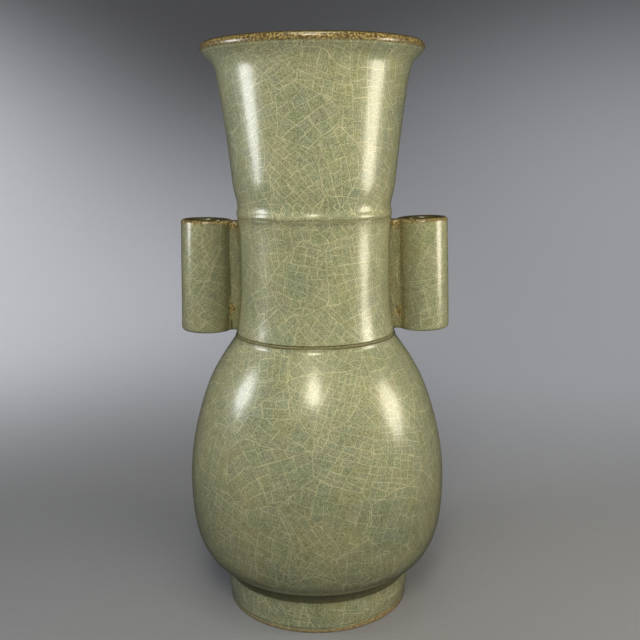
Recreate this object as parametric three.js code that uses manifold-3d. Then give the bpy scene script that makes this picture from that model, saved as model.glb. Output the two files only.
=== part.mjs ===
// Arrow ear vase: a tall stoneware vase with a flared mouth, a waisted neck between two grooves, two
// upright tube ears beside the neck, an egg-shaped belly and a low hollow foot ring. It is thrown in
// sections that stand on each other, each joint bedded in a thin layer of slip.
// Millimetres, +Z up, origin at the middle of the resting face. The ears stand at -X and +X.

import * as THREE from "three";
import { mergeVertices } from "three/addons/utils/BufferGeometryUtils.js";
import Module from "manifold-3d";

const wasm = await Module();
wasm.setup();

const degrees = THREE.MathUtils.degToRad;

// Heights of the thrown sections, from the ground up, and of the slip between them
const footHeight = 17.6;
const lowerBodyHeight = 53.2;
const upperBodyHeight = 83.2;
const neckHeight = 63.4;
const mouthHeight = 89.4;
const slipThickness = 0.8;

// Clay walls
const wall = 5;
const floorThickness = 7.5;
const floorFlatRadius = 36;
const footWall = 7.5;

// Foot ring: outer radius, how much it draws in at the ground and at the joint, and its eased edge
const footRadius = 52.3;
const footGroundTaper = 1.2;
const footSeamInset = 0.8;
const footShoulder = 4;
const footEdgeRound = 1.2;

// Belly: its widest radius, where its underside springs from the foot, and how full its curves are
const bellyRadius = 71.8;
const undersideOverhang = 1.1;
const undersideRise = 4.3;
const undersideReach = 17;
const undersideSlope = degrees(23);
const bellyFullnessBelow = 25.3;
const bellyFullnessAbove = 27;
const shoulderReach = 32;
const shoulderSlope = degrees(36);

// Neck: the groove above the shoulder, the spread foot of the neck's wall, and the waist
const shoulderGrooveRadius = 43.7;
const neckFootSpread = 2.05;
const neckFootHeight = 9.6;
const neckWaistRadius = 40.7;
const neckWaistRise = 46;

// Mouth: the groove and the fine ridge above it, the throat, the flare and the rolled lip
const throatGrooveRadius = 41.9;
const throatRidgeSwell = 0.35;
const throatRidgeHeight = 1.8;
const throatRadius = 41.65;
const throatRise = 6;
const flareStartRadius = 43.95;
const flareStartRise = 19.4;
const flareReachBelow = 34.6;
const flareReachAbove = 11.3;
const flareSlopeBelow = degrees(8);
const flareSlopeAbove = degrees(57.5);
const lipRadius = 58.9;
const lipHalfWidth = 3.2;
const lipHalfHeight = 2.7;

// Slip that is squeezed out inside each joint: how far its bead stands in, how far it spreads up and
// down the walls, and how far the slip lies back from the outside
const beadDepth = 1.4;
const beadSpread = 0.9;
const slipRecess = 0.6;

// Ears: upright tubes that lean like the neck's wall
const earRadius = 14;
const earWall = 4.6;
const earRimRound = 1.7;
const earClearance = 2.7;
const earEndInset = 1.1;
const earSplay = degrees(1.67);

// Strips of clay between ears and neck, and the hair gap that any cut joint keeps
const stripWidth = 9;
const stripFlare = 2;
const stripEndInset = 0.7;
const clayGap = 0.3;

// Fineness of the faceted surfaces
const facetsAround = 44;
const facetsAroundEar = 24;

// Levels of the joints: each section starts one layer of slip above the one below it
const footTop = footHeight;
const lowerBodyBottom = footTop + slipThickness;
const lowerBodyTop = lowerBodyBottom + lowerBodyHeight;
const upperBodyBottom = lowerBodyTop + slipThickness;
const upperBodyTop = upperBodyBottom + upperBodyHeight;
const neckBottom = upperBodyTop + slipThickness;
const neckTop = neckBottom + neckHeight;
const mouthBottom = neckTop + slipThickness;
const mouthTop = mouthBottom + mouthHeight;

// Fired colours of the glazed clay, the bare clay of the foot and the slip in the joints
const glazedClay = new THREE.MeshStandardMaterial({ color: 0x96987a, roughness: 0.25, metalness: 0 });
const bareClay = new THREE.MeshStandardMaterial({ color: 0x8a6f4d, roughness: 0.8, metalness: 0 });
const firedSlip = new THREE.MeshStandardMaterial({ color: 0x6b5a38, roughness: 0.7, metalness: 0 });

// A point of an outline: x is its distance from the axis and y its height.
const at = (radius, height) => new THREE.Vector2(radius, height);

// The point a given way from another along a slope measured from the vertical.
const along = (from, way, slope) => at(from.x + way * Math.sin(slope), from.y + way * Math.cos(slope));

// Points of a smooth bend from a to d, pulled towards b and c.
const bend = (a, b, c, d, steps) => new THREE.CubicBezierCurve(a, b, c, d).getPoints(steps);

// Points of an oval stretch about a centre, between two angles.
function ovalArc(centre, halfWidth, halfHeight, from, to, steps) {
  const curve = new THREE.EllipseCurve(centre.x, centre.y, halfWidth, halfHeight, from, to, to < from);
  return curve.getPoints(steps);
}

// The inner side of a wall, from the top down, whose outer side is given from the bottom up: every
// second point moved square to the outline. The ends that meet a joint are moved level instead, so
// that the joint stays flat.
function innerSide(outer, thickness, levelBottom, levelTop) {
  const last = outer.length - 1;
  const moved = outer.map((point, i) => {
    if ((i === 0 && levelBottom) || (i === last && levelTop)) return at(point.x - thickness, point.y);
    const run = outer[Math.min(i + 1, last)].clone().sub(outer[Math.max(i - 1, 0)]).normalize();
    return at(point.x - run.y * thickness, point.y + run.x * thickness);
  });
  return moved.filter((point, i) => i % 2 === 0 || i === last).reverse();
}

// A closed outline, given counter-clockwise, spun about the Z axis. Points that fall on the one
// before them are left out, and the outline closes on itself, unless it starts and ends on the axis.
function turned(outline, facets) {
  const points = outline.filter((point, i) => i === 0 || point.distanceTo(outline[i - 1]) > 1e-4);
  const closed = points[0].x === 0 ? points : [...points, points[0].clone()];
  return new THREE.LatheGeometry(closed, facets).rotateX(Math.PI / 2);
}

// A solid that can be cut, from a closed geometry, and a geometry from such a solid.
function solidOf(geometry) {
  const bare = geometry.clone();
  bare.deleteAttribute("normal");
  bare.deleteAttribute("uv");
  const merged = mergeVertices(bare, 1e-4);
  const vertProperties = new Float32Array(merged.attributes.position.array);
  const triVerts = new Uint32Array(merged.index.array);
  return new wasm.Manifold(new wasm.Mesh({ numProp: 3, vertProperties, triVerts }));
}

function geometryOf(solid) {
  const { vertProperties, triVerts } = solid.getMesh();
  const geometry = new THREE.BufferGeometry();
  geometry.setAttribute("position", new THREE.BufferAttribute(vertProperties, 3));
  geometry.setIndex(new THREE.BufferAttribute(triVerts, 1));
  geometry.computeVertexNormals();
  return geometry;
}

const vase = new THREE.Group();

function add(name, geometry, material) {
  const mesh = new THREE.Mesh(geometry, material);
  mesh.name = name;
  vase.add(mesh);
}

// A layer of slip on a joint, with the bead that is squeezed out of it inside the hollow. The bead
// stands a hair gap off the walls, and spreads as far above and below the layer as is given.
function addSlip(name, level, outerRadius, innerRadius, spreadUp = beadSpread, spreadDown = beadSpread) {
  const top = level + slipThickness;
  const beadHeight = spreadUp + slipThickness + spreadDown;
  const beadRoot = at(innerRadius - clayGap, level - spreadDown + beadHeight / 2);
  const bead = ovalArc(beadRoot, beadDepth, beadHeight / 2, Math.PI / 2, (3 * Math.PI) / 2, 3);
  const outside = [at(outerRadius, level), at(outerRadius, top)];
  const inside = [at(beadRoot.x, top), ...bead, at(beadRoot.x, level)];
  add(name, turned([...outside, ...inside], facetsAround), firedSlip);
}

// Foot ring: a hollow ring that flares a little upwards, eased at the edge that it stands on
const footInnerRadius = footRadius - footWall;
const footSeamRadius = footRadius - footSeamInset;
const footEdge = at(footRadius - footGroundTaper - footEdgeRound, footEdgeRound);
add(
  "foot_ring",
  turned(
    [
      at(footInnerRadius + footEdgeRound, 0),
      ...ovalArc(footEdge, footEdgeRound, footEdgeRound, -Math.PI / 2, 0, 3),
      at(footRadius, footTop - footShoulder),
      at(footSeamRadius, footTop),
      at(footInnerRadius, footTop),
      at(footInnerRadius, footEdgeRound),
    ],
    facetsAround,
  ),
  bareClay,
);
addSlip("foot_seam_slip", footTop, footSeamRadius - slipRecess, footInnerRadius, 0);

// Lower body: a bowl with the floor of the vase, its underside springing from the foot in a fillet
const undersideStart = at(footSeamRadius + undersideOverhang, lowerBodyBottom + undersideRise);
const filletCorner = at(footSeamRadius, undersideStart.y - undersideOverhang * Math.tan(undersideSlope));
const fillet = bend(at(footSeamRadius, lowerBodyBottom), filletCorner, filletCorner, undersideStart, 3);
const bowlOuter = bend(
  undersideStart,
  along(undersideStart, undersideReach, Math.PI / 2 - undersideSlope),
  at(bellyRadius, lowerBodyTop - bellyFullnessBelow),
  at(bellyRadius, lowerBodyTop),
  10,
);
const bowlInner = innerSide(bowlOuter, wall, false, true);
const floorLevel = lowerBodyBottom + floorThickness;
add(
  "lower_body",
  turned(
    [
      at(0, lowerBodyBottom),
      ...fillet,
      ...bowlOuter,
      ...bowlInner,
      at(floorFlatRadius, floorLevel),
      at(0, floorLevel),
    ],
    facetsAround,
  ),
  glazedClay,
);
addSlip("belly_seam_slip", lowerBodyTop, bellyRadius, bellyRadius - wall);

// Upper body: the belly closes over the shoulder to the groove under the neck
const shoulderEnd = at(shoulderGrooveRadius, upperBodyTop);
const shoulderOuter = bend(
  at(bellyRadius, upperBodyBottom),
  at(bellyRadius, upperBodyBottom + bellyFullnessAbove),
  along(shoulderEnd, -shoulderReach, -shoulderSlope),
  shoulderEnd,
  14,
);
const shoulderInner = innerSide(shoulderOuter, wall, true, true);
add("upper_body", turned([...shoulderOuter, ...shoulderInner], facetsAround), glazedClay);
addSlip("neck_seam_slip", upperBodyTop, shoulderGrooveRadius - slipRecess, shoulderGrooveRadius - wall, 0);

// Neck: its foot spreads on to the shoulder, then the wall draws in to the waist and out again
const neckStart = at(shoulderGrooveRadius, neckBottom);
const footEnd = at(shoulderGrooveRadius - neckFootSpread, neckBottom + neckFootHeight);
const waist = at(neckWaistRadius, neckBottom + neckWaistRise);
const neckEnd = at(throatGrooveRadius, neckTop);
const neckOuter = [
  ...bend(
    neckStart,
    at(neckStart.x - neckFootSpread / 2, neckStart.y + neckFootHeight / 4),
    at(footEnd.x, footEnd.y - neckFootHeight / 2),
    footEnd,
    4,
  ),
  ...bend(
    footEnd,
    at((footEnd.x + waist.x) / 2, footEnd.y + neckFootHeight),
    at(waist.x, (footEnd.y + waist.y) / 2),
    waist,
    4,
  ).slice(1),
  ...bend(
    waist,
    at(waist.x, (waist.y + neckTop) / 2),
    at(waist.x, (waist.y + 3 * neckTop) / 4),
    neckEnd,
    4,
  ).slice(1),
];
const neckInner = innerSide(neckOuter, wall, true, true);
add("neck", turned([...neckOuter, ...neckInner], facetsAround), glazedClay);
addSlip("mouth_seam_slip", neckTop, throatGrooveRadius - slipRecess, throatGrooveRadius - wall);

// Mouth: a fine ridge on the upper groove, the throat, the long flare and the rolled lip
const throat = at(throatRadius, mouthBottom + throatRise);
const flareStart = at(flareStartRadius, mouthBottom + flareStartRise);
const lipCentre = at(lipRadius - lipHalfWidth, mouthTop - lipHalfHeight);
const lip = ovalArc(lipCentre, lipHalfWidth, lipHalfHeight, degrees(-60), degrees(150), 7);
const flareEnd = lip[0];
const mouthOuter = [
  at(throatGrooveRadius, mouthBottom),
  at(throatGrooveRadius + throatRidgeSwell, mouthBottom + throatRidgeHeight),
  ...bend(
    throat,
    at(throat.x, throat.y + throatRise),
    along(flareStart, -throatRise, flareSlopeBelow),
    flareStart,
    4,
  ),
  ...bend(
    flareStart,
    along(flareStart, flareReachBelow, flareSlopeBelow),
    along(flareEnd, -flareReachAbove, flareSlopeAbove),
    flareEnd,
    10,
  ).slice(1),
];
const mouthInner = innerSide(mouthOuter.slice(0, -1), wall, true, false);
add("mouth", turned([...mouthOuter, ...lip, ...mouthInner], facetsAround), glazedClay);

// Ears: each is an open tube that stands beside the neck and leans as the neck's wall does, on a
// strip of clay that fills the gap between them
const earMiddle = (neckBottom + neckTop) / 2;
const earHeight = neckHeight - 2 * earEndInset;
const reachAtMiddle = (point) => point.x + (point.y - earMiddle) * Math.tan(earSplay);
const neckReach = Math.max(...neckOuter.map(reachAtMiddle));
const earCentre = neckReach + earClearance + earRadius;

// The tube's wall: a tall rounded oblong spun about the ear's own axis
function earTube() {
  const quarter = Math.PI / 2;
  const low = earRimRound - earHeight / 2;
  const high = earHeight / 2 - earRimRound;
  const outer = earRadius - earRimRound;
  const inner = earRadius - earWall + earRimRound;
  const corner = (x, y, start) => ovalArc(at(x, y), earRimRound, earRimRound, start, start + quarter, 3);
  const outline = [
    ...corner(outer, low, -quarter),
    ...corner(outer, high, 0),
    ...corner(inner, high, quarter),
    ...corner(inner, low, 2 * quarter),
  ];
  return turned(outline, facetsAroundEar);
}

// An upright round bar about the Z axis, for cutting a seat
function roundBar(radius, height) {
  return new THREE.CylinderGeometry(radius, radius, height, facetsAroundEar).rotateX(Math.PI / 2);
}

// The strip before it is cut: it runs from the ear's axis to inside the neck, and flares at both seats
function stripBlank() {
  const half = stripWidth / 2;
  const earSeat = earRadius;
  const neckSeat = earCentre - neckWaistRadius;
  const middle = (earSeat + neckSeat) / 2;
  const past = neckSeat + wall;
  const shape = new THREE.Shape();
  shape.moveTo(0, -half - stripFlare);
  shape.lineTo(earSeat - stripFlare, -half - stripFlare);
  shape.quadraticCurveTo(earSeat, -half, middle, -half);
  shape.quadraticCurveTo(neckSeat - stripFlare / 2, -half, neckSeat + stripFlare, -half - stripFlare);
  shape.lineTo(past, -half - stripFlare);
  shape.lineTo(past, half + stripFlare);
  shape.lineTo(neckSeat + stripFlare, half + stripFlare);
  shape.quadraticCurveTo(neckSeat - stripFlare / 2, half, middle, half);
  shape.quadraticCurveTo(earSeat, half, earSeat - stripFlare, half + stripFlare);
  shape.lineTo(0, half + stripFlare);
  const height = earHeight - 2 * stripEndInset;
  const blank = new THREE.ExtrudeGeometry(shape, { depth: height, bevelEnabled: false, curveSegments: 4 });
  return blank.translate(0, 0, -height / 2);
}

// What the strips are cut back from: the neck's outer side, a hair gap larger and longer
const neckSeatSolid = solidOf(
  turned(
    [
      at(0, neckBottom - wall),
      at(neckOuter[0].x + clayGap, neckBottom - wall),
      ...neckOuter.map((point) => at(point.x + clayGap, point.y)),
      at(neckEnd.x + clayGap, neckTop + wall),
      at(0, neckTop + wall),
    ],
    facetsAround,
  ),
);

for (const [side, direction] of [["left", -1], ["right", 1]]) {
  const lean = new THREE.Matrix4().makeRotationY(-direction * earSplay);
  const place = lean.setPosition(direction * earCentre, 0, earMiddle);
  add(`${side}_ear`, earTube().applyMatrix4(place), glazedClay);
  const facing = direction > 0 ? Math.PI : 0;
  const blank = stripBlank().rotateZ(facing).applyMatrix4(place);
  const tubeSeat = roundBar(earRadius + clayGap, earHeight + wall).applyMatrix4(place);
  const strip = solidOf(blank).subtract(solidOf(tubeSeat)).subtract(neckSeatSolid);
  add(`${side}_ear_strip`, geometryOf(strip), glazedClay);
}

export default vase;
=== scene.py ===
# Arrow ear vase: a stoneware vase thrown in sections, luted with slip, dipped in a celadon glaze and
# fired, so that the glaze crackled as it cooled. The sections below follow the vase as it is put
# together, from the foot to the ears. Blender's lengths are metres, and the pieces' are millimetres.

import math

import bpy
import numpy as np
from mathutils import Matrix, Vector


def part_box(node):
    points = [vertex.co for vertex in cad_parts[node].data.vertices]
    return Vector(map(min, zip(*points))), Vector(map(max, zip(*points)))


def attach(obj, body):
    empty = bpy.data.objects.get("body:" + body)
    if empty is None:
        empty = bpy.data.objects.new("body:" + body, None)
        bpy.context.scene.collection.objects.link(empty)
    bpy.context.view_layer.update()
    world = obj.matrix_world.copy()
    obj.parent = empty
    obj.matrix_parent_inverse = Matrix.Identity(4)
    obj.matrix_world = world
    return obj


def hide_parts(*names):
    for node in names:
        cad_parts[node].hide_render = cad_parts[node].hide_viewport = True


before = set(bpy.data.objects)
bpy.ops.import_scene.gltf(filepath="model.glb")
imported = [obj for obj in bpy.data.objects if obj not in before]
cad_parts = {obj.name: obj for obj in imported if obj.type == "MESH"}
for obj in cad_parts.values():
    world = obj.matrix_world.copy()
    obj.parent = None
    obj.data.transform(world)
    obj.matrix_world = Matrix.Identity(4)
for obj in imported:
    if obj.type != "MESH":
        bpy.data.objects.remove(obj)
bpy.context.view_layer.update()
MM = 0.001


# Camera: it stands just under half a metre in front of the vase, a little below the height of the
# lip, and looks down on it, so that the ears show their rims and the foot ring shows as an oval.
camera_place = Vector((0, -478.7, 260.15)) * MM
camera_pitch = math.radians(11.615)
camera_yaw = math.radians(0.304)
camera_roll = math.radians(-0.562)
camera_lens = 49.21

camera_data = bpy.data.cameras.new("camera")
camera_data.lens = camera_lens
camera_data.sensor_width = 36
camera = bpy.data.objects.new("camera", camera_data)
bpy.context.scene.collection.objects.link(camera)
turn = Matrix.Rotation(-camera_yaw, 3, "Z")
turn = turn @ Matrix.Rotation(math.pi / 2 - camera_pitch, 3, "X")
turn = turn @ Matrix.Rotation(camera_roll, 3, "Z")
camera.matrix_world = Matrix.Translation(camera_place) @ turn.to_4x4()
bpy.context.scene.camera = camera
bpy.context.scene.view_settings.view_transform = "Standard"


# Foot ring: it carries the vase, and is turned from the same clay. It is glazed down to its edge,
# where the glaze was wiped off, so that the vase would not stick to the kiln's shelf.

def linear(hex_colour):
    """A colour given as sRGB hex, in linear light."""
    parts = [int(hex_colour[i:i + 2], 16) / 255 for i in (1, 3, 5)]
    return tuple(p / 12.92 if p <= 0.04045 else ((p + 0.055) / 1.055) ** 2.4 for p in parts) + (1.0,)


def put(tree, kind, inputs=None, **settings):
    """Adds a node with its settings. Each input, named or numbered, is set to a constant, or linked from
    a socket, or from the first live output of a node."""
    node = tree.nodes.new(kind)
    for name, value in settings.items():
        setattr(node, name, value)
    for key, value in (inputs or {}).items():
        socket = next(s for i, s in enumerate(node.inputs) if s.enabled and key in (i, s.name))
        if isinstance(value, bpy.types.Node):
            value = next(s for s in value.outputs if s.enabled)
        if isinstance(value, bpy.types.NodeSocket):
            tree.links.new(value, socket)
        else:
            socket.default_value = value
    return node


def node_group(name, kind, takes, gives):
    """A group of nodes with the sockets that it takes and gives, and its two end nodes."""
    tree = bpy.data.node_groups.new(name, kind)
    for side, sockets in (("INPUT", takes), ("OUTPUT", gives)):
        for label, socket in sockets.items():
            tree.interface.new_socket(label, in_out=side, socket_type="NodeSocket" + socket)
    return tree, tree.nodes.new("NodeGroupInput").outputs, tree.nodes.new("NodeGroupOutput").inputs


def thrown_wall():
    """Spins an outline about the Z axis, as a wall is thrown on the wheel. The outline is an edge chain in
    the XZ plane, and the wall comes out a little uneven, as a hand leaves it."""
    takes = {"Outline": "Geometry", "Facets": "Int", "Unevenness": "Float", "Swell Length": "Float",
             "Seed": "Float", "Glaze": "Material"}
    tree, given, out = node_group("thrown_wall", "GeometryNodeTree", takes, {"Wall": "Geometry"})

    # The outline is swept along a small circle, so it is first moved in by that circle's radius.
    hub_radius = 10 * MM
    merge_reach = 0.001 * MM
    line = put(tree, "GeometryNodeMeshToCurve", {"Mesh": given["Outline"]})
    inward = put(tree, "GeometryNodeTransform", {"Geometry": line, "Translation": (-hub_radius, 0, 0)})
    section = put(tree, "GeometryNodeTransform", {"Geometry": inward, "Rotation": (math.pi / 2, 0, 0)})
    wheel = put(tree, "GeometryNodeCurvePrimitiveCircle", {"Resolution": given["Facets"],
                                                           "Radius": hub_radius})
    wall = put(tree, "GeometryNodeCurveToMesh", {"Curve": wheel, "Profile Curve": section})
    closed = put(tree, "GeometryNodeMergeByDistance", {"Geometry": wall, "Distance": merge_reach})
    outward_faces = put(tree, "GeometryNodeFlipFaces", {"Mesh": closed})

    # Slow swells move the wall in and out.
    place = put(tree, "GeometryNodeInputPosition")
    fineness = put(tree, "ShaderNodeMath", {0: 1.0, 1: given["Swell Length"]}, operation="DIVIDE")
    swell = put(tree, "ShaderNodeTexNoise", {"Vector": place, "W": given["Seed"], "Scale": fineness,
                                             "Detail": 1.0}, noise_dimensions="4D")
    even = put(tree, "ShaderNodeMath", {0: swell, 1: 0.5}, operation="SUBTRACT")
    reach = put(tree, "ShaderNodeMath", {0: even, 1: given["Unevenness"]}, operation="MULTIPLY")
    level = put(tree, "ShaderNodeVectorMath", {0: place, 1: (1, 1, 0)}, operation="MULTIPLY")
    outward = put(tree, "ShaderNodeVectorMath", {0: level}, operation="NORMALIZE")
    shift = put(tree, "ShaderNodeVectorMath", {0: outward, "Scale": reach}, operation="SCALE")
    uneven = put(tree, "GeometryNodeSetPosition", {"Geometry": outward_faces, "Offset": shift})

    # An edge that turns further than this is shaded as a crisp one.
    crisp_turn = math.radians(50)
    smooth = put(tree, "GeometryNodeSetShadeSmooth", {"Geometry": uneven, "Shade Smooth": True},
                 domain="FACE")
    edge_turn = put(tree, "GeometryNodeInputMeshEdgeAngle")
    crisp = put(tree, "FunctionNodeCompare", {"A": edge_turn, "B": crisp_turn}, operation="GREATER_THAN")
    edged = put(tree, "GeometryNodeSetShadeSmooth", {"Geometry": smooth, "Selection": crisp,
                                                     "Shade Smooth": False}, domain="EDGE")
    whole = put(tree, "GeometryNodeRealizeInstances", {"Geometry": edged})
    coated = put(tree, "GeometryNodeSetMaterial", {"Geometry": whole, "Material": given["Glaze"]})
    tree.links.new(coated.outputs[0], out["Wall"])
    return tree


def new_piece(name, mesh):
    """An object for a finished mesh, at the origin."""
    piece = bpy.data.objects.new(name, mesh)
    bpy.context.scene.collection.objects.link(piece)
    return piece


def note_turned_place(piece, seed=0.0):
    """Stores where each point of a piece is about the axis that it was turned on, in millimetres, so that its
    cracks follow its wall. The seed moves the pattern, so that pieces of one shape crack differently."""
    pattern_shift = 100 * seed
    mesh = piece.data
    places = np.empty(len(mesh.vertices) * 3, np.float32)
    mesh.vertices.foreach_get("co", places)
    places = places.reshape(-1, 3) / MM + (0, 0, pattern_shift)
    attribute = mesh.attributes.new("turned_place", "FLOAT_VECTOR", "POINT")
    attribute.data.foreach_set("vector", places.astype(np.float32).ravel())


def throw(name, outline, material, facets=192, unevenness=0.5, swell_length=60, seed=0.0):
    """A turned piece from its outline, given counter-clockwise as (radius, height) points, which closes on
    itself unless it starts on the axis. Unevenness is how far the wall wanders in and out in all, and
    swell_length how long its swells are."""
    points = [(r * MM, 0, z * MM) for r, z in outline]
    edges = [(i, i + 1) for i in range(len(points) - 1)]
    if outline[0][0] > 0:
        edges.append((len(points) - 1, 0))
    chain = bpy.data.meshes.new(name + "_outline")
    chain.from_pydata(points, edges, [])
    blank = new_piece(name + "_outline", chain)
    wheel = blank.modifiers.new("thrown_wall", "NODES")
    wheel.node_group = wall_tree
    sockets = {s.name: s.identifier for s in wall_tree.interface.items_tree if s.in_out == "INPUT"}
    wheel[sockets["Facets"]] = facets
    wheel[sockets["Unevenness"]] = unevenness * MM
    wheel[sockets["Swell Length"]] = swell_length * MM
    wheel[sockets["Seed"]] = seed
    wheel[sockets["Glaze"]] = material
    depsgraph = bpy.context.evaluated_depsgraph_get()
    evaluated = blank.evaluated_get(depsgraph)
    mesh = bpy.data.meshes.new_from_object(evaluated, preserve_all_data_layers=True, depsgraph=depsgraph)
    mesh.name = name
    bpy.data.objects.remove(blank)
    piece = new_piece(name, mesh)
    note_turned_place(piece, seed)
    return piece


def bend(start, pull_start, pull_end, end, step=2.0):
    """Points of a smooth stretch of outline, from start to just short of end, about a step apart. It leaves
    its start towards one pull, and comes to its end from the other."""
    a, b, c, d = (np.array(p, float) for p in (start, pull_start, pull_end, end))
    count = max(3, round((np.linalg.norm(b - a) + np.linalg.norm(c - b) + np.linalg.norm(d - c)) / step))
    share = np.arange(count)[:, None] / count
    rest = 1 - share
    points = rest**3 * a + 3 * rest**2 * share * b + 3 * rest * share**2 * c + share**3 * d
    return [tuple(p) for p in points]


def arc(centre, radius, start, end, steps):
    """Points of a round stretch of outline, between two angles in degrees."""
    angles = [math.radians(start + (end - start) * i / steps) for i in range(steps + 1)]
    return [(centre[0] + radius * math.cos(a), centre[1] + radius * math.sin(a)) for a in angles]


def stain(piece, name, rule):
    """Stores at each point of a piece how strong a stain or a painted shade is, or how deep the glaze, from 0
    to 1.
    The rule takes the points' places in millimetres. Half of a stain shows at 0.5, and all of it from about
    0.8."""
    mesh = piece.data
    places = np.empty(len(mesh.vertices) * 3)
    mesh.vertices.foreach_get("co", places)
    x, y, z = places.reshape(-1, 3).T / MM
    strength = np.clip(rule(x, y, z) * np.ones(len(x)), 0, 1)
    attribute = mesh.attributes.new(name, "FLOAT", "POINT")
    attribute.data.foreach_set("value", strength.astype(np.float32))


def band(height, level, strength, fade):
    """How strong a stain round a level is at a height. It weakens by 1 over each fade away from the level."""
    return strength - abs(height - level) / fade


def ramp(place, start, fade):
    """How strong a stain is that begins at a start and grows by 1 over each fade past it."""
    return (place - start) / fade


def crack_grid():
    """Cracks that split a field into staggered blocks, as a field of glaze splits: long cracks run right
    across it, and short ones run from one to the next. Span is a block's width and length, Twist how far the
    grid may be turned, and Stray how far its cracks may stray, as a share of a block. It gives the distance
    to the nearest crack, and the place, the seed and the span inside each block, so that a block can be
    split again."""
    takes = {"Place": "Vector", "Seed": "Vector", "Span": "Vector", "Twist": "Float", "Stray": "Float"}
    gives = {"Distance": "Float", "Place": "Vector", "Seed": "Vector", "Span": "Vector"}
    tree, given, out = node_group("crack_grid", "ShaderNodeTree", takes, gives)
    chance = put(tree, "ShaderNodeTexWhiteNoise", {"Vector": given["Seed"]})
    centred = put(tree, "ShaderNodeVectorMath", {0: chance.outputs["Color"], 1: (0.5, 0.5, 0.5)},
                  operation="SUBTRACT")
    turn_share = put(tree, "ShaderNodeSeparateXYZ", {0: centred}).outputs["X"]
    angle = put(tree, "ShaderNodeMath", {0: turn_share, 1: given["Twist"]}, operation="MULTIPLY")
    turned = put(tree, "ShaderNodeVectorRotate", {"Vector": given["Place"], "Angle": angle},
                 rotation_type="Z_AXIS")
    flat = put(tree, "ShaderNodeSeparateXYZ", {0: turned})
    strayed = put(tree, "ShaderNodeVectorMath", {0: centred, "Scale": given["Stray"]}, operation="SCALE")
    stray = put(tree, "ShaderNodeSeparateXYZ", {0: strayed})
    swell = put(tree, "ShaderNodeMath", {0: stray.outputs["Y"], 1: 1.0}, operation="ADD")
    own_span = put(tree, "ShaderNodeVectorMath", {0: given["Span"], "Scale": swell}, operation="SCALE")
    spans = put(tree, "ShaderNodeSeparateXYZ", {0: own_span})
    shift = stray.outputs["Z"]
    sides = []
    for axis in ("X", "Y"):
        span = spans.outputs[axis]
        count = put(tree, "ShaderNodeMath", {0: flat.outputs[axis], 1: span}, operation="DIVIDE")
        moved = put(tree, "ShaderNodeMath", {0: count, 1: shift}, operation="ADD")
        number = put(tree, "ShaderNodeMath", {0: moved}, operation="FLOOR")
        inside = put(tree, "ShaderNodeMath", {0: moved}, operation="FRACT")
        middle = put(tree, "ShaderNodeMath", {0: inside, 1: 0.5}, operation="SUBTRACT")
        local = put(tree, "ShaderNodeMath", {0: middle, 1: span}, operation="MULTIPLY")
        near = put(tree, "ShaderNodeMath", {0: moved, 1: 0.5}, operation="PINGPONG")
        away = put(tree, "ShaderNodeMath", {0: near, 1: span}, operation="MULTIPLY")
        sides.append((number, local, away))
        if axis == "X":
            # Each column of blocks is shifted by a chance of its own, which staggers the short cracks.
            own_seed = put(tree, "ShaderNodeVectorMath", {0: given["Seed"], 1: number}, operation="ADD")
            own_chance = put(tree, "ShaderNodeTexWhiteNoise", {"Vector": own_seed})
            own_share = put(tree, "ShaderNodeMath", {0: own_chance, 1: 0.5}, operation="SUBTRACT")
            shift = put(tree, "ShaderNodeMath", {0: own_share, 1: given["Stray"]}, operation="MULTIPLY")
    (column, local_x, away_x), (row, local_y, away_y) = sides
    nearest = put(tree, "ShaderNodeMath", {0: away_x, 1: away_y}, operation="MINIMUM")
    place = put(tree, "ShaderNodeCombineXYZ", {"X": local_x, "Y": local_y})
    block = put(tree, "ShaderNodeCombineXYZ", {"X": column, "Y": row, "Z": turn_share})
    seed = put(tree, "ShaderNodeVectorMath", {0: given["Seed"], 1: block}, operation="ADD")
    for name, result in (("Distance", nearest), ("Place", place), ("Seed", seed), ("Span", own_span)):
        tree.links.new(result.outputs[0], out[name])
    return tree


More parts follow.
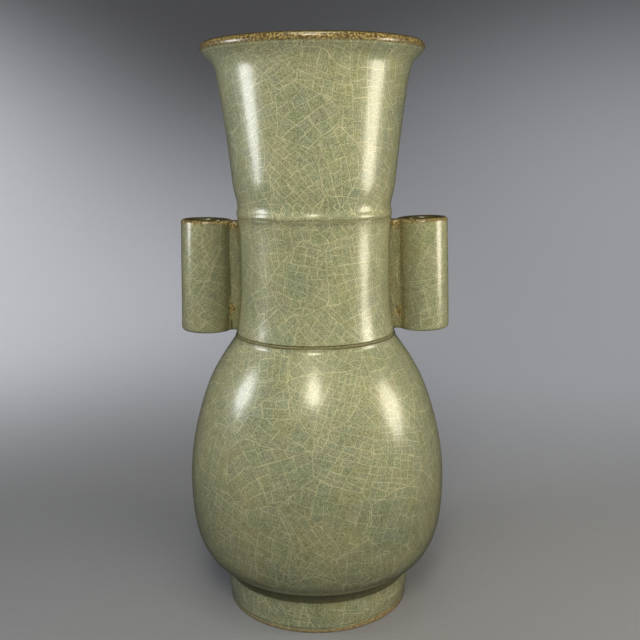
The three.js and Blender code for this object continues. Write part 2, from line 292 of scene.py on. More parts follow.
def crackle():
    """The net of cracks, from a place in millimetres about the piece's own axis and the way that the surface
    faces. Fields some 30 mm wide are split into blocks of about 10 by 13 mm, these near their middles into
    blocks of half the size, and these once more by faint cracks. Cracks is their strength, from 0 to 1, and
    Tint a chance colour for each block of the second size."""
    takes = {"Place": "Vector", "Facing": "Vector"}
    gives = {"Cracks": "Float", "Tint": "Color"}
    tree, given, out = node_group("crackle", "ShaderNodeTree", takes, gives)

    # No crack runs quite straight, so the place is bent by waves, each with its length and its reach.
    bent = given["Place"]
    for length, reach in ((60.0, 12.0), (15.0, 3.0), (5.0, 1.05)):
        wave = put(tree, "ShaderNodeTexNoise", {"Vector": given["Place"], "Scale": 1 / length, "Detail": 1.0})
        centred = put(tree, "ShaderNodeVectorMath", {0: wave.outputs["Color"], 1: (0.5, 0.5, 0.5)},
                      operation="SUBTRACT")
        scaled = put(tree, "ShaderNodeVectorMath", {0: centred, "Scale": reach}, operation="SCALE")
        bent = put(tree, "ShaderNodeVectorMath", {0: bent, 1: scaled}, operation="ADD")

    # The distance to a field's border is measured along the surface, or a border that runs aslant through
    # the wall would show as a wide line.
    field_size = 30.0
    near_field = put(tree, "ShaderNodeTexVoronoi", {"Vector": bent, "Scale": 1 / field_size})
    next_field = put(tree, "ShaderNodeTexVoronoi", {"Vector": bent, "Scale": 1 / field_size}, feature="F2")
    middle = near_field.outputs["Position"]
    next_middle = next_field.outputs["Position"]
    halfway = put(tree, "ShaderNodeVectorMath", {0: middle, 1: next_middle}, operation="ADD")
    border_point = put(tree, "ShaderNodeVectorMath", {0: halfway, "Scale": 0.5}, operation="SCALE")
    apart = put(tree, "ShaderNodeVectorMath", {0: middle, 1: next_middle}, operation="SUBTRACT")
    past = put(tree, "ShaderNodeVectorMath", {0: bent, 1: border_point}, operation="SUBTRACT")
    inside = put(tree, "ShaderNodeVectorMath", {0: past, 1: apart}, operation="DOT_PRODUCT")
    slant = put(tree, "ShaderNodeVectorMath", {0: apart, 1: given["Facing"]}, operation="CROSS_PRODUCT")
    steepness = put(tree, "ShaderNodeVectorMath", {0: slant}, operation="LENGTH")
    edge = put(tree, "ShaderNodeMath", {0: inside.outputs["Value"], 1: steepness.outputs["Value"]},
               operation="DIVIDE")

    # Inside its field, a place is unrolled flat: how far it is round the wall and up it from the middle.
    from_middle = put(tree, "ShaderNodeVectorMath", {0: bent, 1: middle}, operation="SUBTRACT")
    level = put(tree, "ShaderNodeVectorMath", {0: (0, 0, 1), 1: bent}, operation="CROSS_PRODUCT")
    radius = put(tree, "ShaderNodeVectorMath", {0: level}, operation="LENGTH").outputs["Value"]
    across = put(tree, "ShaderNodeVectorMath", {0: level}, operation="NORMALIZE")
    outward = put(tree, "ShaderNodeVectorMath", {0: across, 1: (0, 0, 1)}, operation="CROSS_PRODUCT")
    up = put(tree, "ShaderNodeVectorMath", {0: given["Facing"], 1: across}, operation="CROSS_PRODUCT")
    beside = put(tree, "ShaderNodeVectorMath", {0: from_middle, 1: across}, operation="DOT_PRODUCT")
    ahead = put(tree, "ShaderNodeVectorMath", {0: middle, 1: outward}, operation="DOT_PRODUCT")
    angle = put(tree, "ShaderNodeMath", {0: beside.outputs["Value"], 1: ahead.outputs["Value"]},
                operation="ARCTAN2")
    unrolled_x = put(tree, "ShaderNodeMath", {0: angle, 1: radius}, operation="MULTIPLY")
    flat_y = put(tree, "ShaderNodeVectorMath", {0: from_middle, 1: up}, operation="DOT_PRODUCT")
    place = put(tree, "ShaderNodeCombineXYZ", {"X": unrolled_x, "Y": flat_y.outputs["Value"]})
    field_chance = near_field.outputs["Color"]
    seed_spread = 97.0
    seed = put(tree, "ShaderNodeVectorMath", {0: field_chance, "Scale": seed_spread}, operation="SCALE")

    # Each kind of crack has a strength, and a reach to either side in millimetres. Real cracks are a few
    # hundredths of a millimetre wide, too fine to show, so they are drawn about 0.4 mm wide.
    border_strength = 0.92
    border_reach = 0.2
    line_core = 0.05
    lines = [(edge, border_strength, border_reach)]

    # Each split has how far its grid is turned and how far its cracks stray, besides strength and reach.
    grid = crack_grid()
    span = (10.0, 13.0, 0.0)
    next_span_share = 0.68
    seeds = []
    for twist, stray, strength, reach in (
        (math.tau, 0.7, 0.92, 0.2),
        (0.5, 0.35, 0.8, 0.19),
        (0.5, 0.35, 0.28, 0.16),
    ):
        split = put(tree, "ShaderNodeGroup", {"Place": place, "Seed": seed, "Span": span, "Twist": twist,
                                              "Stray": stray}, node_tree=grid)
        lines.append((split.outputs["Distance"], strength, reach))
        place, seed = split.outputs["Place"], split.outputs["Seed"]
        span = put(tree, "ShaderNodeVectorMath", {0: split.outputs["Span"], "Scale": next_span_share},
                   operation="SCALE")
        seeds.append(seed)
    tint = put(tree, "ShaderNodeTexWhiteNoise", {"Vector": seeds[1]})
    tree.links.new(tint.outputs["Color"], out["Tint"])

    total = 0.0
    for distance, strength, reach in lines:
        line = put(tree, "ShaderNodeMapRange", {"Value": distance, "From Min": line_core, "From Max": reach,
                                                "To Min": strength, "To Max": 0.0},
                   interpolation_type="SMOOTHSTEP")
        total = put(tree, "ShaderNodeMath", {0: total, 1: line}, operation="MAXIMUM")
    tree.links.new(total.outputs[0], out["Cracks"])
    return tree


def celadon_glaze():
    """Crackled celadon over stoneware: iron in the glaze and a fire short of air make it olive green, and
    the fine bubbles in it give a waxy grain that softens its reflections. It is darker where the glaze lies
    in pools and where painted shade is laid on, lets the clay show brown where it ran thin, is dark along the
    grooves, and carries painted shade in the ears' bores and beside the ears. Bare foot clay is tan."""
    material = bpy.data.materials.new("crackled_celadon_glaze")
    material.use_nodes = True
    tree = material.node_tree
    tree.nodes.clear()
    where = put(tree, "ShaderNodeTexCoord")
    place = put(tree, "ShaderNodeVectorMath", {0: where.outputs["Object"], "Scale": 1 / MM},
                operation="SCALE")
    turned = put(tree, "ShaderNodeAttribute", attribute_name="turned_place")
    net = put(tree, "ShaderNodeGroup", {"Place": turned.outputs["Vector"], "Facing": where.outputs["Normal"]},
              node_tree=crackle())

    # Each chance pattern has its size in millimetres and its detail. The bubbles' grain is drawn some five
    # times as coarse as the real one, so that it shows.
    noises = {}
    for name, length, detail in (("cloud", 38.0, 3.0), ("mottle", 6.0, 2.0), ("grain", 0.65, 2.0),
                                 ("speck", 1.0, 3.0)):
        noises[name] = put(tree, "ShaderNodeTexNoise", {"Vector": place, "Scale": 1 / length,
                                                        "Detail": detail})

    # The body drifts between a greyer and a yellower green. Haze of bubbles makes it paler and darker by
    # turns, and each block between the cracks has a tint of its own.
    clouds = put(tree, "ShaderNodeMapRange", {"Value": noises["cloud"], "From Min": 0.36, "From Max": 0.64})
    body = put(tree, "ShaderNodeMix", {"Factor": clouds, "A": linear("#969c82"), "B": linear("#a5a684")},
               data_type="RGBA")
    uneven = put(tree, "ShaderNodeMapRange", {"Value": noises["mottle"], "From Min": 0.3, "From Max": 0.7,
                                              "To Min": -0.025, "To Max": 0.025})
    grains = put(tree, "ShaderNodeMapRange", {"Value": noises["grain"], "From Min": 0.3, "From Max": 0.7,
                                              "To Min": -0.16, "To Max": 0.16})
    haze = put(tree, "ShaderNodeMath", {0: uneven, 1: grains}, operation="ADD")
    haze_colour = (1.0, 1.0, 0.75)
    milky = put(tree, "ShaderNodeVectorMath", {0: haze_colour, "Scale": haze}, operation="SCALE")
    cloudy = put(tree, "ShaderNodeVectorMath", {0: body, 1: milky}, operation="ADD")
    tint_spread = Vector((0.028, 0.01, 0.03))
    tint = put(tree, "ShaderNodeVectorMath", {0: net.outputs["Tint"], 1: tint_spread, 2: -tint_spread / 2},
               operation="MULTIPLY_ADD")
    colour = put(tree, "ShaderNodeVectorMath", {0: cloudy, 1: tint}, operation="ADD")

    # The cracks have taken up a pale stain, less of it in some patches, and are lost where the glaze lies in
    # pools and under painted shade.
    open_share = put(tree, "ShaderNodeMapRange", {"Value": noises["mottle"], "From Min": 0.38,
                                                  "From Max": 0.58, "To Min": 0.45, "To Max": 1.0})
    cracks = put(tree, "ShaderNodeMath", {0: net.outputs["Cracks"], 1: open_share}, operation="MULTIPLY")
    cracked = put(tree, "ShaderNodeMix", {"Factor": cracks, "A": colour, "B": linear("#e4dfb9")},
                  data_type="RGBA")
    # Pools of glaze and painted shade: the colour is drawn towards a dark olive under the belly, at the top
    # of the foot, on the ears and strips, and under the upper groove.
    pool_and_shade_depth = put(tree, "ShaderNodeAttribute", attribute_name="pooled_and_painted_shade")
    pooled_and_painted_shade = put(tree, "ShaderNodeMix", {"Factor": pool_and_shade_depth.outputs["Fac"], "A": cracked,
                                         "B": linear("#3c3a20")}, data_type="RGBA")

    # Each stain is speckled in two colours. Softness is how wide its ragged border is.
    speckle = put(tree, "ShaderNodeMapRange", {"Value": noises["speck"], "From Min": 0.42, "From Max": 0.66})
    last = pooled_and_painted_shade
    for name, one_colour, other_colour, softness in (
        ("brown", "#574729", "#bfa970", 0.5),
        ("dark", "#40371c", "#57502c", 0.5),
        ("bare", "#8f7a55", "#c4ae86", 0.3),
    ):
        amount = put(tree, "ShaderNodeAttribute", attribute_name=name)
        stain_colour = put(tree, "ShaderNodeMix", {"Factor": speckle, "A": linear(one_colour),
                                                   "B": linear(other_colour)}, data_type="RGBA")
        ragged = put(tree, "ShaderNodeMath", {0: noises["grain"], 1: amount.outputs["Fac"]}, operation="ADD")
        cover = put(tree, "ShaderNodeMapRange", {"Value": ragged, "From Min": 1.0 - softness / 2,
                                                 "From Max": 1.0 + softness / 2},
                    interpolation_type="SMOOTHSTEP")
        last = put(tree, "ShaderNodeMix", {"Factor": cover, "A": last, "B": stain_colour}, data_type="RGBA")

    gloss = put(tree, "ShaderNodeMapRange", {"Value": noises["grain"], "To Min": 0.22, "To Max": 0.42})
    waxy = put(tree, "ShaderNodeBump", {"Height": noises["grain"], "Strength": 0.5, "Distance": 0.025 * MM})
    split = put(tree, "ShaderNodeBump", {"Height": net.outputs["Cracks"], "Normal": waxy, "Strength": 0.5,
                                         "Distance": 0.03 * MM}, invert=True)
    shader = put(tree, "ShaderNodeBsdfPrincipled", {"Base Color": last, "Roughness": gloss, "Normal": split,
                                                    "IOR": 1.6, "Coat Weight": 0.85, "Coat Roughness": 0.18,
                                                    "Coat Normal": waxy})
    put(tree, "ShaderNodeOutputMaterial", {"Surface": shader})
    return material


wall_tree = thrown_wall()
glaze = celadon_glaze()

foot_radius = 52.4
foot_inner_radius = 44.8
foot_edge_round = 0.9
foot_ground_radius = 51.1
foot_swell_low = 3.0
foot_swell_high = 13.5
foot_top = 18.0
foot_top_radius = 52.1
foot_outline = [
    (foot_inner_radius + foot_edge_round, 0),
    *arc((foot_ground_radius - foot_edge_round, foot_edge_round), foot_edge_round, -90, 0, 5),
    *bend((foot_ground_radius, foot_swell_low), (foot_ground_radius, foot_swell_low + 4.0),
          (foot_radius, foot_swell_high - 5.0), (foot_radius, foot_swell_high), step=0.8),
    *bend((foot_radius, foot_swell_high), (foot_radius, foot_swell_high + 2.0),
          (foot_top_radius, foot_top - 1.0), (foot_top_radius, foot_top), step=0.8),
    (foot_top_radius, foot_top),
    (foot_inner_radius, foot_top),
    (foot_inner_radius, foot_edge_round),
]
foot = throw("glazed_foot_ring", foot_outline, glaze)

bare_fade = 2.3
bare_fade_extra = 2.7
dirt_level = 2.9
dirt_level_extra = 1.8
right_side = 35.0


def to_right(x):
    """From 0 at the middle of the foot to 1 at its right side, where more of the glaze was wiped off."""
    return np.clip(x / right_side, 0, 1)


stain(foot, "bare", lambda x, y, z: band(z, 0.0, 1.2, bare_fade + bare_fade_extra * to_right(x)))
stain(foot, "dark", lambda x, y, z: band(z, dirt_level + dirt_level_extra * to_right(x), 0.6, 1.6))
# Gathered glaze and painted shade under the belly darken the foot towards its top.
stain(foot, "pooled_and_painted_shade", lambda x, y, z: 0.2 * ramp(z, foot_top / 2, 8.0))
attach(foot, "root")
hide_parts("foot_ring", "foot_seam_slip")


# Belly: two thrown bowls, luted rim to rim and turned smooth, so that no seam shows under the glaze.
# The underside springs from the foot in a tight fillet, and the shoulder draws in to the first groove.

def lean_from(point, way, slope):
    """The point a given way from another, along a slope measured from upright, outwards if positive."""
    return (point[0] + way * math.sin(slope), point[1] + way * math.cos(slope))


def inner_side(outer, thickness):
    """The inner side of a wall, from the top down, with every other point of the outer side."""
    points = np.array(outer)
    run = np.gradient(points, axis=0)
    run /= np.linalg.norm(run, axis=1)[:, None]
    moved = points + thickness * np.column_stack((-run[:, 1], run[:, 0]))
    return [tuple(p) for p in moved[::-2]]


wall = 5.0
belly_radius = 71.8
belly_level = 72.0
belly_pull_down = 25.3
belly_pull_up = 26.2
underside_start = (52.6, 22.7)
underside_slope = math.radians(67)
underside_pull = 17.0
floor_level = foot_top + 7.5
floor_flat_radius = 36.0
floor_corner = 1.0
shoulder_middle = (58.44, 131.7)
shoulder_middle_slope = math.radians(-26.2)
shoulder_middle_pull_down = 8.7
shoulder_middle_pull_up = 9.0
shoulder_end = (45.6, 152.2)
shoulder_end_slope = math.radians(-36)
shoulder_end_pull_down = 7.0
shoulder_end_pull_up = 0.9
collar_top = (44.5, 154.6)
shoulder_groove_radius = 43.4
shoulder_groove = 155.5

belly_outer = [
    *bend((foot_top_radius, foot_top), (51.9, 19.6), (51.75, 21.9), underside_start, step=0.6),
    *bend(underside_start, lean_from(underside_start, underside_pull, underside_slope),
          (belly_radius, belly_level - belly_pull_down), (belly_radius, belly_level)),
    *bend((belly_radius, belly_level), (belly_radius, belly_level + belly_pull_up),
          lean_from(shoulder_middle, -shoulder_middle_pull_down, shoulder_middle_slope), shoulder_middle),
    *bend(shoulder_middle, lean_from(shoulder_middle, shoulder_middle_pull_up, shoulder_middle_slope),
          lean_from(shoulder_end, -shoulder_end_pull_down, shoulder_end_slope), shoulder_end, step=0.6),
    *bend(shoulder_end, lean_from(shoulder_end, shoulder_end_pull_up, shoulder_end_slope),
          (44.55, 153.8), collar_top, step=0.25),
    *bend(collar_top, (44.5, 155.2), (44.1, shoulder_groove),
          (shoulder_groove_radius, shoulder_groove), step=0.25),
]
belly_inner = [p for p in inner_side(belly_outer, wall)
               if floor_level + floor_corner < p[1] < shoulder_groove]
belly_outline = [
    (0, foot_top),
    (foot_inner_radius, foot_top),
    *belly_outer,
    (shoulder_groove_radius, shoulder_groove),
    (shoulder_groove_radius - wall, shoulder_groove),
    *belly_inner,
    (floor_flat_radius, floor_level),
    (0, floor_level),
]
belly = throw("glazed_belly", belly_outline, glaze)
stain(belly, "dark", lambda x, y, z: band(z, shoulder_groove - 0.3, 0.72, 0.9))

# The glaze ran down the wall and gathered most in the fillet above the foot, and painted shade is laid under
# the belly: the belly darkens towards its bottom.
pool_heights = (18, 22, 34, 60, 95, 125)
pool_strengths = (0.8, 0.75, 0.25, 0.25, 0.12, 0.08)
stain(belly, "pooled_and_painted_shade", lambda x, y, z: np.interp(z, pool_heights, pool_strengths))
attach(belly, "root")
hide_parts("lower_body", "belly_seam_slip", "upper_body")


# Neck: a thrown tube that spreads a little on to the shoulder, draws in to a waist and opens again
# towards the upper groove. It stands on the shoulder in a bed of slip.
neck_bottom = 156.4
neck_foot = (43.9, neck_bottom + 0.4)
neck_waist = (40.74, 192.1)
neck_waist_pull_up = 10.1
neck_end = (41.9, 219.4)
neck_end_slope = math.radians(9.6)
neck_end_pull = 8.7
throat_seam = 220.0
throat_groove_radius = 41.2

neck_outer = [
    *bend((shoulder_groove_radius, neck_bottom), (43.7, neck_bottom), (43.85, neck_bottom), neck_foot,
          step=0.2),
    *bend(neck_foot, (42.6, 163.8), (neck_waist[0], 170.0), neck_waist, step=0.8),
    *bend(neck_waist, (neck_waist[0], neck_waist[1] + neck_waist_pull_up),
          lean_from(neck_end, -neck_end_pull, neck_end_slope), neck_end, step=0.8),
    *bend(neck_end, (42.0, 219.8), (41.8, throat_seam), (throat_groove_radius, throat_seam), step=0.25),
]
neck_outline = [
    *neck_outer,
    (throat_groove_radius, throat_seam),
    (throat_groove_radius - wall, throat_seam),
    *[p for p in inner_side(neck_outer, wall) if neck_bottom < p[1] < throat_seam],
    (shoulder_groove_radius - wall, neck_bottom),
]
neck = throw("glazed_neck", neck_outline, glaze)
stain(neck, "dark", lambda x, y, z: np.maximum(band(z, neck_foot[1], 0.72, 0.9),
                                               band(z, throat_seam - 0.2, 0.6, 1.5)))
# Painted shade darkens the neck a little all over, and more just under the upper groove.
stain(neck, "pooled_and_painted_shade", lambda x, y, z: np.maximum(0.05, band(z, throat_seam - 1.4, 0.35, 4.0)))
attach(neck, "root")
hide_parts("neck")


# Mouth: the tallest section, thrown as a flaring tube. A fine ridge runs round its lower edge, and its
# lip is rolled outwards. The glaze ran off the ridge and the lip in the fire, and left them brown.
ridge = (42.3, 221.6)
ridge_top = (41.65, 226.0)
flare_start = (44.11, 240.0)
flare_start_slope = math.radians(5.17)
flare_start_pull_down = 6.6
flare_start_pull_up = 19.65
flare_end = (50.94, 294.0)
flare_end_slope = math.radians(10.36)
flare_end_pull_down = 13.5
flare_end_pull_up = 7.4
curl_end = (57.9, 305.0)
curl_slope = math.radians(38)
curl_pull = 3.2
lip_centre = (55.9, 307.3)
lip_half = (3.0, 2.7)
lip_start = -46
lip_turn = 196
lip_steps = 22

mouth_outer = [
    *bend((throat_groove_radius, throat_seam), (41.8, throat_seam), (42.1, 220.5), ridge, step=0.25),
    *bend(ridge, (42.3, 223.3), (41.5, 223.8), ridge_top, step=0.4),
    *bend(ridge_top, (41.8, 229.0), lean_from(flare_start, -flare_start_pull_down, flare_start_slope),
          flare_start, step=0.8),
    *bend(flare_start, lean_from(flare_start, flare_start_pull_up, flare_start_slope),
          lean_from(flare_end, -flare_end_pull_down, flare_end_slope), flare_end),
    *bend(flare_end, lean_from(flare_end, flare_end_pull_up, flare_end_slope),
          lean_from(curl_end, -curl_pull, curl_slope), curl_end, step=0.5),
]
lip_angles = [math.radians(lip_start + lip_turn * i / lip_steps) for i in range(lip_steps + 1)]
lip = [(lip_centre[0] + lip_half[0] * math.cos(a), lip_centre[1] + lip_half[1] * math.sin(a))
       for a in lip_angles]
mouth_inner = [p for p in inner_side(mouth_outer, wall) if throat_seam < p[1] < curl_end[1]]
mouth_outline = [*mouth_outer, *lip, *mouth_inner, (throat_groove_radius - wall, throat_seam)]
mouth = throw("glazed_mouth", mouth_outline, glaze)

lip_top = lip_centre[1] + lip_half[1]
stain(mouth, "dark", lambda x, y, z: np.maximum.reduce([band(z, throat_seam + 0.1, 0.55, 1.0),
                                                        band(z, lip_top - 5.6, 0.4, 2.5),
                                                        ramp(z, lip_top - 2.0, 2.6)]))
stain(mouth, "brown", lambda x, y, z: np.maximum(band(z, throat_seam + 0.9, 0.5, 1.2),
                                                 ramp(z, lip_top - 5.5, 2.4)))
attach(mouth, "root")
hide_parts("mouth")


# Slip in the two grooves: what was squeezed out when the sections were set on each other. It shows as
# a thin dull ring at the bottom of each groove, and stands in a little from the wall inside.

def fired_slip():
    """Slip that fired to a dull clay colour under a thin skin of glaze."""
    material = bpy.data.materials.new("fired_slip")
    material.use_nodes = True
    tree = material.node_tree
    tree.nodes.clear()
    where = put(tree, "ShaderNodeTexCoord")
    place = put(tree, "ShaderNodeVectorMath", {0: where.outputs["Object"], "Scale": 1 / MM},
                operation="SCALE")
    grain_size = 1.2
    grain = put(tree, "ShaderNodeTexNoise", {"Vector": place, "Scale": 1 / grain_size, "Detail": 2.0})
    spread = put(tree, "ShaderNodeMapRange", {"Value": grain, "From Min": 0.35, "From Max": 0.65})
    colour = put(tree, "ShaderNodeMix", {"Factor": spread, "A": linear("#857e58"), "B": linear("#b0ac86")},
                 data_type="RGBA")
    rough = put(tree, "ShaderNodeBump", {"Height": grain, "Strength": 0.6, "Distance": 0.1 * MM})
    shader = put(tree, "ShaderNodeBsdfPrincipled", {"Base Color": colour, "Roughness": 0.45, "Normal": rough})
    put(tree, "ShaderNodeOutputMaterial", {"Surface": shader})
    return material


slip = fired_slip()
slip_overhang = 1.2
neck_slip_level = (shoulder_groove + neck_bottom) / 2
neck_slip_height = neck_bottom - shoulder_groove
for name, node, level, height, radius in (
    ("neck_slip_ring", "neck_seam_slip", neck_slip_level, neck_slip_height, 43.6),
    ("mouth_slip_ring", "mouth_seam_slip", throat_seam, 0.8, 41.8),
):
    ring_inner_radius = radius - wall - slip_overhang
    ring_outline = [
        *arc((radius - height / 2, level), height / 2, -90, 90, 8),
        (ring_inner_radius, level + height / 2),
        (ring_inner_radius, level - height / 2),
    ]
    ring = throw(name, ring_outline, slip)
    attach(ring, "root")
    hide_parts(node)


# Ears: open tubes as wide as an arrow's shaft and feathers need, cut from a thrown cylinder with
# rounded rims. Each leans in a little towards its top, and is luted on to the neck by a strip of clay.
ear_wall = 4.6
rim = 1.7
rim_steps = 8
ear_rows = 40
bore_rows = 12
ear_lean = math.radians(1.67)

# Each ear's side, its direction, how brown it is beside the neck, and how much painted shade it has all over,
# more on the left ear, which faces the left lamp.
for side, direction, brown_beside_neck, painted_shade_all_over in (
    ("left", -1, 0.25, 0.29),
    ("right", 1, 0.45, 0.13),
):
    low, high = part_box(side + "_ear")
    ear_place = Vector(((low.x + high.x) / 2, 0, (low.z + high.z) / 2))
    ear_radius = (high.y - low.y) / 2 / MM
    half = (high.z - low.z) / 2 / MM - ear_radius * math.sin(ear_lean)
    ear_outer = [
        *arc((ear_radius - rim, rim - half), rim, -90, 0, rim_steps),
        *[(ear_radius, z) for z in np.linspace(rim - half, half - rim, ear_rows)[1:-1]],
        *arc((ear_radius - rim, half - rim), rim, 0, 90, rim_steps),
    ]
    bore = ear_radius - ear_wall
    ear_inner = [
        *arc((bore + rim, half - rim), rim, 90, 180, rim_steps),
        *[(bore, z) for z in np.linspace(half - rim, rim - half, bore_rows)[1:-1]],
        *arc((bore + rim, rim - half), rim, 180, 270, rim_steps),
    ]
    ear = throw(side + "_tube_ear", [*ear_outer, *ear_inner], glaze, facets=96, unevenness=0.4,
                seed=3.0 + direction)

    # The glaze ran thin and brown on the upper rim. The side that faces the neck is stained brown and
    # darkened by
    #     painted shade, the bore is darkened by painted shade, and the ear is darker along its lower rim.
    stain(ear, "brown", lambda x, y, z: np.maximum(
        np.minimum(ramp(z, half - 3.2, 3.0), 0.75),
        brown_beside_neck * np.clip(ramp(-direction * x, 5.0, 6.0), 0, 1)))
    stain(ear, "dark", lambda x, y, z: np.maximum(0.6 * (bore + 2.5 - np.hypot(x, y)),
                                                  band(z, -half, 0.6, 2.0)))
    # Painted shade all over the ear, and more on the side that faces the neck.
    stain(ear, "pooled_and_painted_shade", lambda x, y, z:
          painted_shade_all_over + 0.45 * np.clip(ramp(-direction * x, 1.0, 11.0), 0, 1))
    ear.data.transform(Matrix.Translation(ear_place) @ Matrix.Rotation(-direction * ear_lean, 4, "Y"))
    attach(ear, "root")
    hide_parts(side + "_ear")


# Strips: a finger of clay pressed upright between each ear and the neck, and smoothed with a wet
# fingertip, so that it runs out in a hollow on both sides.
strip_half = 4.5
strip_flare = 2.2
strip_end_reach = 1.0
strip_end_taper = 0.8
strip_sink = 0.6
end_rows = (0.0, 0.3, 1.0)
middle_rows_inset = 2.0
middle_rows = 40
points_across = 13

for side, direction, drip_depth, specks, crease_shade in (
    ("left", -1, 48.0, 0.3, 0.8),
    ("right", 1, 50.0, 0.42, 0.5),
):
    low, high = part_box(side + "_ear_strip")
    ear_low, ear_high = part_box(side + "_ear")
    ear_middle = (ear_low + ear_high) / 2 / MM
    ear_radius = (ear_high.y - ear_low.y) / 2 / MM
    neck_heights = [p[1] for p in neck_outer]
    neck_radii = [p[0] for p in neck_outer]
    bottom, top = low.z / MM, high.z / MM
    levels = [
        *[bottom + inset for inset in end_rows],
        *np.linspace(bottom + middle_rows_inset, top - middle_rows_inset, middle_rows),
        *[top - inset for inset in reversed(end_rows)],
    ]
    points, faces = [], []
    across = np.linspace(0, 1, points_across)
    for z in levels:
        end_share = max(0.0, 1.0 - min(z - bottom, top - z) / strip_end_reach)
        start = np.interp(z, neck_heights, neck_radii) - strip_sink
        axis = abs(ear_middle.x) - (z - ear_middle.z) * math.tan(ear_lean)
        half_width = (strip_half + strip_flare * np.abs(2 * across - 1) ** 3
                      - strip_end_taper * end_share**2)
        to_neck = np.sqrt(np.maximum(start**2 - half_width**2, 0))
        to_ear = axis - np.sqrt((ear_radius - strip_sink) ** 2 - half_width**2)
        reach = to_neck + (to_ear - to_neck) * across
        ring = [(direction * x, -w, z) for x, w in zip(reach, half_width)]
        ring += [(direction * x, w, z) for x, w in zip(reach[::-1], half_width[::-1])]
        points += ring
    count = 2 * len(across)
    for i in range(len(levels) - 1):
        for j in range(count):
            k = (j + 1) % count
            faces.append((i * count + j, i * count + k, (i + 1) * count + k, (i + 1) * count + j))
    last = (len(levels) - 1) * count
    for j in range(len(across) - 1):
        faces.append((j, count - 1 - j, count - 2 - j, j + 1))
        faces.append((last + j, last + j + 1, last + count - 2 - j, last + count - 1 - j))
    if direction < 0:
        faces = [f[::-1] for f in faces]
    mesh = bpy.data.meshes.new(side + "_clay_strip")
    mesh.from_pydata([tuple(c * MM for c in p) for p in points], [], faces)
    mesh.materials.append(glaze)
    mesh.shade_smooth()
    strip = new_piece(side + "_clay_strip", mesh)
    note_turned_place(strip)

    # A brown drip lies in the seam beside each ear, over painted shade in the crease there. The strip's top
    # is
    #     brown too, and it has brown specks all over.
    strip_places = np.array(points)
    from_ear = abs(np.hypot(abs(strip_places[:, 0]) - abs(ear_middle.x), strip_places[:, 1]) - ear_radius)
    drip = band(strip_places[:, 2], top - drip_depth, 1.1, 6.0) - from_ear / 5.0
    stain(strip, "brown", lambda x, y, z: np.maximum.reduce([ramp(z, top - 9.0, 9.0), drip,
                                                             np.full_like(z, specks)]))
    # Painted shade in the crease beside the ear.
    stain(strip, "dark", lambda x, y, z: crease_shade - from_ear / 1.2 - 2 * np.clip(drip, 0, 1))
    # Painted shade darkens the whole strip, between the ear and the neck.
    stain(strip, "pooled_and_painted_shade", lambda x, y, z: 0.35)
    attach(strip, "root")
    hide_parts(side + "_ear_strip")


# Floor and lights: a pale studio floor that sweeps up all round, a small soft light near each side of
# the vase and two above it, which draw the highlights on the glaze, and a card that fills in from the
# front without a reflection. Two lamps behind the vase light the backdrop in pools.

def aimed(place, target):
    """Where a light stands and how it is turned, if it stands at a place and faces a target, in metres."""
    facing = (Vector(target) - Vector(place)).to_track_quat("-Z", "Y")
    return Matrix.Translation(place) @ facing.to_matrix().to_4x4()


floor_flat = 620.0
sweep_radius = 750.0
sweep_height = 1700.0

sweep = [(0.0, 0.0), (floor_flat, 0.0)]
sweep += [(floor_flat + sweep_radius * math.sin(a), sweep_radius * (1 - math.cos(a)))
          for a in np.linspace(0, math.pi / 2, 33)[1:]]
sweep.append((floor_flat + sweep_radius, sweep_height))

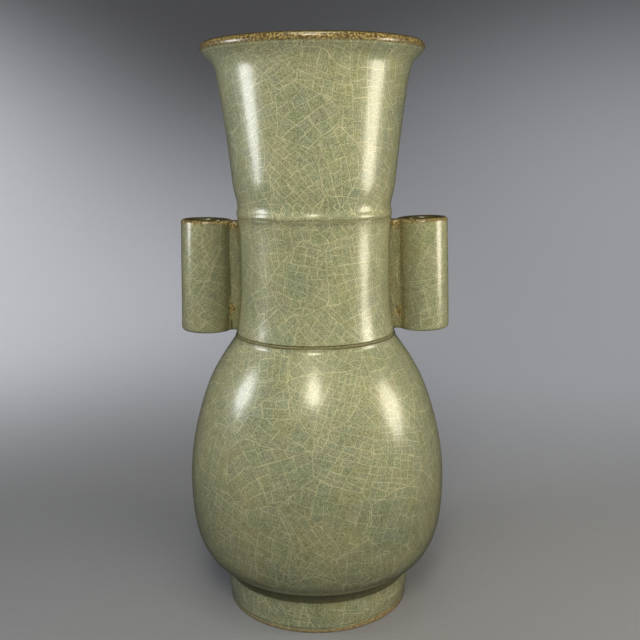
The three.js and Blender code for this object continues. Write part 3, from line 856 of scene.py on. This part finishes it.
# Uncoated paper: matt, and faintly mottled by clumps of its fibres, some 3 mm long.
paper = bpy.data.materials.new("matt_backdrop_paper")
paper.use_nodes = True
paper_tree = paper.node_tree
paper_tree.nodes.clear()
paper_place = put(paper_tree, "ShaderNodeTexCoord").outputs["Object"]
fibres = put(paper_tree, "ShaderNodeTexNoise", {"Vector": paper_place, "Scale": 300.0})
tone = put(paper_tree, "ShaderNodeMix", {"Factor": fibres, "A": linear("#9395a0"), "B": linear("#999ba6")},
           data_type="RGBA")
matt = put(paper_tree, "ShaderNodeBsdfPrincipled", {"Base Color": tone, "Roughness": 0.8})
put(paper_tree, "ShaderNodeOutputMaterial", {"Surface": matt})
backdrop = throw("backdrop_floor", sweep, paper, facets=96, unevenness=0.0)
backdrop.visible_glossy = False

# Each light's place, what it faces, its width and height, its power in watts, its colour, and whether the
# glaze mirrors it.
for name, place, target, size, power, colour, mirrored in (
    ("left_softbox", (-0.33, -0.065, 0.258), (0, -0.02, 0.258), (0.105, 0.165), 0.36, "#fafcfa", True),
    ("right_softbox", (0.325, -0.085, 0.215), (0, -0.02, 0.215), (0.115, 0.175), 0.40, "#fff5dc", True),
    ("front_softbox", (-0.03, -0.67, 0.67), (0, 0, 0.15), (0.2, 0.31), 2.05, "#fffade", True),
    ("ceiling_softbox", (0.0, -0.28, 0.95), (0, 0, 0.15), (0.5, 0.3), 1.4, "#fffbe6", True),
    ("bounce_card", (0.14, -0.5, 0.36), (0, 0, 0.12), (0.9, 0.35), 1.5, "#fffade", False),
):
    lamp_data = bpy.data.lights.new(name, "AREA")
    lamp_data.shape = "ELLIPSE"
    lamp_data.size, lamp_data.size_y = size
    lamp_data.energy = power
    lamp_data.color = linear(colour)[:3]
    lamp = bpy.data.objects.new(name, lamp_data)
    lamp.matrix_world = aimed(place, target)
    lamp.visible_glossy = mirrored
    lamp.visible_camera = False
    bpy.context.scene.collection.objects.link(lamp)

for side, place, target, power in (
    ("left", (-0.66, 0.40, 1.0), (-0.73, 0.75, 0.0), 64.0),
    ("right", (0.40, 0.42, 1.0), (0.42, 0.77, 0.0), 32.0),
):
    spot_data = bpy.data.lights.new(side + "_backdrop_light", "SPOT")
    spot_data.spot_size = math.radians(94)
    spot_data.spot_blend = 1.0
    spot_data.energy = power
    spot_data.color = linear("#fffff7")[:3]
    spot_data.shadow_soft_size = 0.1
    spot = bpy.data.objects.new(side + "_backdrop_light", spot_data)
    spot.matrix_world = aimed(place, target)
    bpy.context.scene.collection.objects.link(spot)

# The room gives a faint, even light from all sides.
world = bpy.data.worlds.new("room_light")
world.use_nodes = True
world.node_tree.nodes["Background"].inputs["Color"].default_value = linear("#d8dadc")
world.node_tree.nodes["Background"].inputs["Strength"].default_value = 0.04
bpy.context.scene.world = world
